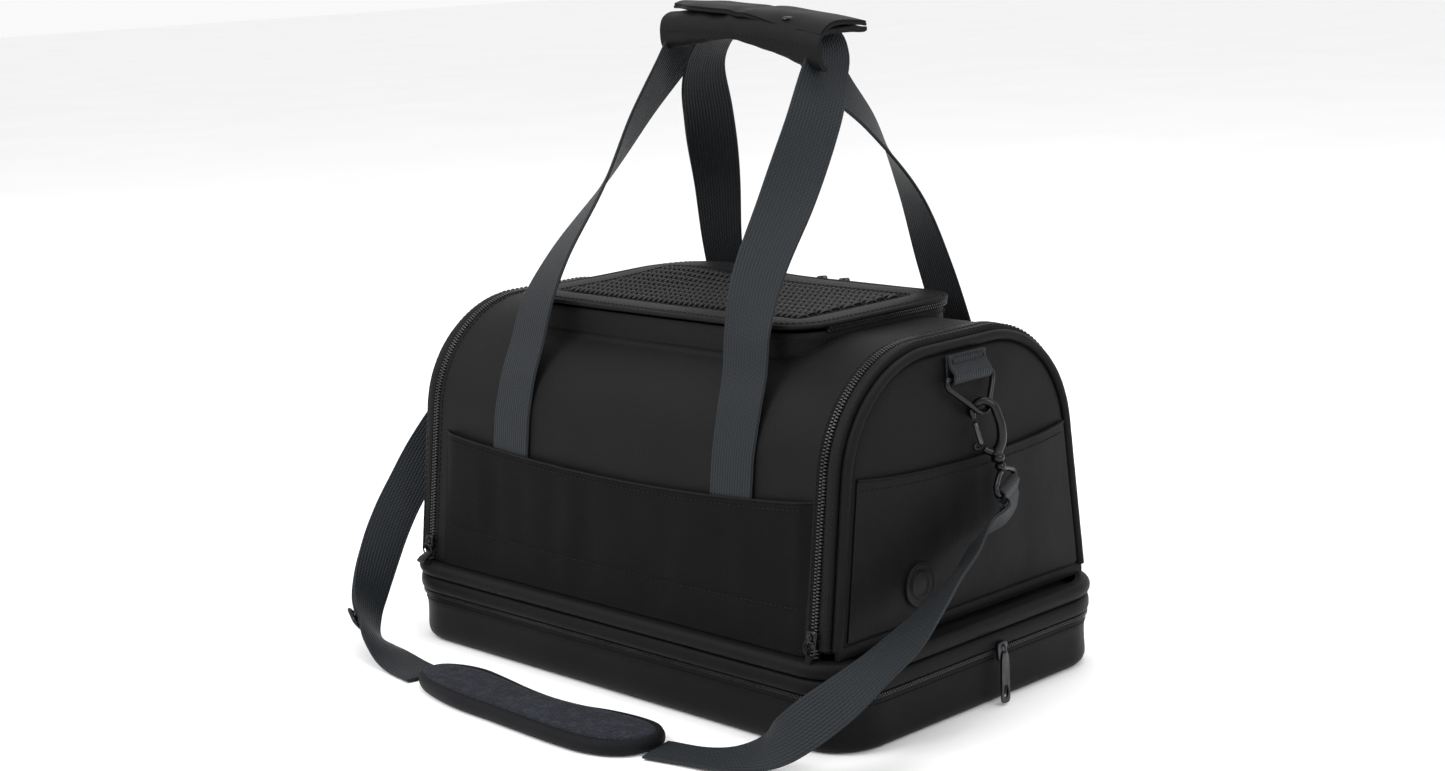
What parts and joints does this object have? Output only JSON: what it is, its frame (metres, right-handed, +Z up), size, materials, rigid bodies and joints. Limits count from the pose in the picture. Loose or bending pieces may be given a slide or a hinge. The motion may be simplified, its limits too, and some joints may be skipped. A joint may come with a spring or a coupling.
{
  "type": "pet_carrier_bag",
  "caption": "Soft-sided black pet carrier bag with fold-down end doors, mesh roof lid, wrapped carrying handles and a clip-on padded shoulder strap",
  "frame": {"origin": "middle of the underside of the base tray, on the floor", "axes": "+X along the length towards the badge end, +Y to the back, +Z up"},
  "size_m": [0.5206, 0.3737, 0.4625],
  "materials": {
    "nylon_body": "plain-weave nylon over foam",
    "nylon_base": "coated nylon, slightly shiny",
    "webbing": "ribbed polyester webbing",
    "zip_coil": "moulded nylon zip coil",
    "metal_grey": "grey plated metal",
    "hook_black": "glossy black enamel",
    "mesh": "ribbed air mesh",
    "felt": "speckled felt top",
    "board": "stiff black board",
    "mat_fleece": "short grey fleece",
    "badge": "moulded rubber badge with plain rings"
  },
  "bodies": {
    "base_tray": {"tray_shell": "nylon_base", "tray_board": "board", "base_zip_coil": "zip_coil"},
    "base_slider": {"base_zip_slider": "metal_grey"},
    "base_pull": {"base_zip_pull": "metal_grey"},
    "cabin": {"base_flange": "nylon_base", "flange_piping": "nylon_base", "cabin_floor": "board", "lying_mat": "mat_fleece", "front_panel": "nylon_body", "back_panel": "nylon_body", "roof_left_panel": "nylon_body", "roof_right_panel": "nylon_body", "left_zip_coil": "zip_coil", "right_zip_coil": "zip_coil", "left_sill": "nylon_body", "right_sill": "nylon_body", "roof_collar": "nylon_body", "roof_zip_coil": "zip_coil", "front_pocket": "nylon_body", "front_handle_foot_left": "webbing", "front_handle_foot_right": "webbing", "back_handle_foot_left": "webbing", "back_handle_foot_right": "webbing", "strap_right": "webbing", "strap_left": "webbing", "shoulder_pad": "felt", "strap_adjuster": "board"},
    "right_door": {"right_door_gusset": "nylon_body", "right_door_piping": "nylon_body", "right_door_panel": "nylon_body", "right_door_pocket": "nylon_body", "right_ring_tab": "webbing", "right_badge": "badge", "right_ring": "hook_black", "right_hook": "hook_black", "right_swivel_eye": "hook_black"},
    "right_gate": {"right_hook_gate": "metal_grey"},
    "right_slider": {"right_zip_slider": "metal_grey"},
    "left_door": {"left_door_gusset": "nylon_body", "left_door_piping": "nylon_body", "left_door_panel": "nylon_body", "left_door_pocket": "nylon_body", "left_ring_tab": "webbing", "left_ring": "hook_black", "left_hook": "hook_black", "left_swivel_eye": "hook_black"},
    "left_gate": {"left_hook_gate": "metal_grey"},
    "left_slider": {"left_zip_slider": "metal_grey"},
    "roof_lid": {"lid_frame": "nylon_body", "lid_mesh": "mesh", "lid_piping": "nylon_body"},
    "roof_slider_a": {"roof_zip_slider_a": "metal_grey"},
    "roof_pull_a": {"roof_zip_pull_a": "nylon_body"},
    "roof_slider_b": {"roof_zip_slider_b": "metal_grey"},
    "roof_pull_b": {"roof_zip_pull_b": "nylon_body"},
    "front_handle": {"front_handle_webbing": "webbing", "grip_wrap": "nylon_body"},
    "flap": {"grip_flap": "nylon_body"},
    "back_handle": {"back_handle_webbing": "webbing"}
  },
  "joints": [
    {"name": "base_slide", "type": "slide", "parent": "base_tray", "child": "base_slider", "axis": [0, 1, 0], "range_m": [-0.1, 0.075]},
    {"name": "base_pull_swing", "type": "hinge", "parent": "base_slider", "child": "base_pull", "pos_m": [0.2316, 0.013, 0.0385], "axis": [0, -1, 0], "range_deg": [0, 100]},
    {"name": "cabin_lift", "type": "hinge", "parent": "base_tray", "child": "cabin", "pos_m": [0, 0.1415, 0.0385], "axis": [-1, 0, 0], "range_deg": [0, 40]},
    {"name": "right_door_fold", "type": "hinge", "parent": "cabin", "child": "right_door", "pos_m": [0.214, 0, 0.07], "axis": [0, 1, 0], "range_deg": [0, 90], "deforming": ["strap_right"]},
    {"name": "left_door_fold", "type": "hinge", "parent": "cabin", "child": "left_door", "pos_m": [-0.214, 0, 0.07], "axis": [0, -1, 0], "range_deg": [0, 90], "deforming": ["strap_left"]},
    {"name": "right_gate_swing", "type": "hinge", "parent": "right_door", "child": "right_gate", "pos_m": [0.2208, 0.008, 0.177], "axis": [-0.7141, 0.7001, 0.0055], "range_deg": [0, 18], "stiffness_Nm_per_rad": 0.02},
    {"name": "left_gate_swing", "type": "hinge", "parent": "left_door", "child": "left_gate", "pos_m": [-0.2226, -0.031, 0.1916], "axis": [0.1153, -0.6292, 0.7687], "range_deg": [0, 18], "stiffness_Nm_per_rad": 0.02},
    {"name": "right_zip_slide", "type": "slide", "parent": "cabin", "child": "right_slider", "axis": [0, 0.1287, 0.9917], "range_m": [0, 0.09]},
    {"name": "left_zip_slide", "type": "slide", "parent": "cabin", "child": "left_slider", "axis": [0, 0.1287, 0.9917], "range_m": [0, 0.09]},
    {"name": "roof_lid_tilt", "type": "hinge", "parent": "cabin", "child": "roof_lid", "pos_m": [0, -0.0845, 0.2578], "axis": [1, 0, 0], "range_deg": [0, 45]},
    {"name": "roof_slide_a", "type": "slide", "parent": "roof_lid", "child": "roof_slider_a", "axis": [1, 0, 0], "range_m": [-0.075, 0.004]},
    {"name": "roof_pull_a_swing", "type": "hinge", "parent": "roof_slider_a", "child": "roof_pull_a", "pos_m": [0.01, 0.0878, 0.2635], "axis": [1, 0, 0], "range_deg": [0, 90]},
    {"name": "roof_slide_b", "type": "slide", "parent": "roof_lid", "child": "roof_slider_b", "axis": [1, 0, 0], "range_m": [-0.004, 0.05]},
    {"name": "roof_pull_b_swing", "type": "hinge", "parent": "roof_slider_b", "child": "roof_pull_b", "pos_m": [0.032, 0.0878, 0.2635], "axis": [1, 0, 0], "range_deg": [0, 90]},
    {"name": "front_handle_swing", "type": "hinge", "parent": "cabin", "child": "front_handle", "pos_m": [0, -0.1205, 0.1875], "axis": [1, 0, 0], "range_deg": [0, 150]},
    {"name": "grip_flap_open", "type": "hinge", "parent": "front_handle", "child": "flap", "pos_m": [0.006, 0.0125, 0.461], "axis": [1, 0, 0], "range_deg": [0, 170]},
    {"name": "back_handle_swing", "type": "hinge", "parent": "cabin", "child": "back_handle", "pos_m": [0, 0.1205, 0.1875], "axis": [-1, 0, 0], "range_deg": [0, 150]}
  ]
}
